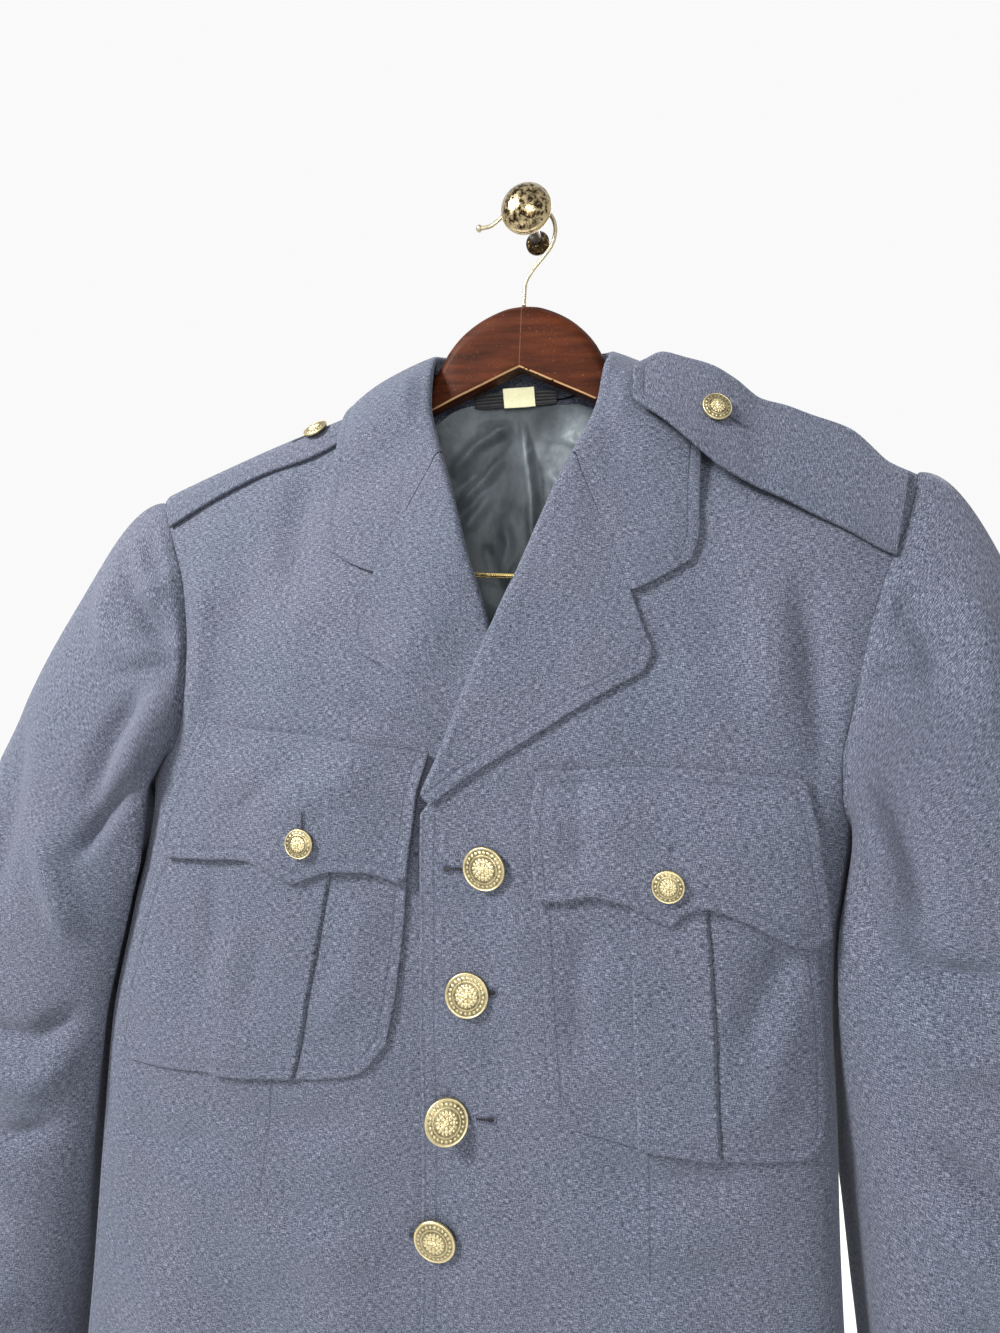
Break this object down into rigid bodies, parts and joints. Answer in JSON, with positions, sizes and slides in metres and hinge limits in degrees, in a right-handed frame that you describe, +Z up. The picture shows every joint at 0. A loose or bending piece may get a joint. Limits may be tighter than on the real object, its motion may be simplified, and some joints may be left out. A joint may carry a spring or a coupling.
{
  "type": "air force service dress jacket on a hanger",
  "caption": "Button-front service dress jacket with notched lapels, shoulder straps and flapped breast pockets, hung on a wooden hanger from a wall knob.",
  "frame": {"origin": "centre of the wall knob's flat back face, where it meets the wall", "axes": "+Z up, +Y into the wall, +X to the viewer's right, the jacket's own left"},
  "size_m": [0.725, 0.1055, 0.8769],
  "materials": {
    "wool_cloth": "matt worsted wool",
    "lining_satin": "satin",
    "loop_tape": "ribbed tape",
    "label_cloth": "woven",
    "button_brass": "antique",
    "hanger_wood": "dark red lacquer",
    "hook_steel": "plated wire",
    "bar_brass": "polished",
    "knob_brass": "polished, with patina"
  },
  "bodies": {
    "root": {"wall_knob": "knob_brass", "hanger_hook": "hook_steel", "hanger_wood": "hanger_wood", "trouser_bar": "bar_brass", "front_left": "wool_cloth", "front_right": "wool_cloth", "back_left": "wool_cloth", "back_right": "wool_cloth", "side_left": "wool_cloth", "side_right": "wool_cloth", "lapel_left": "wool_cloth", "lapel_right": "wool_cloth", "collar": "wool_cloth", "pocket_left": "wool_cloth", "pocket_right": "wool_cloth", "flap_left": "wool_cloth", "flap_right": "wool_cloth", "sleeve_top_left": "wool_cloth", "sleeve_top_right": "wool_cloth", "sleeve_under_left": "wool_cloth", "sleeve_under_right": "wool_cloth", "strap_left": "wool_cloth", "strap_right": "wool_cloth", "strap_button_left": "button_brass", "strap_button_right": "button_brass", "pocket_button_left": "button_brass", "pocket_button_right": "button_brass", "front_button_1": "button_brass", "front_button_2": "button_brass", "front_button_3": "button_brass", "front_button_4": "button_brass", "back_lining": "lining_satin", "hanging_loop": "loop_tape", "label": "label_cloth"}
  },
  "joints": []
}
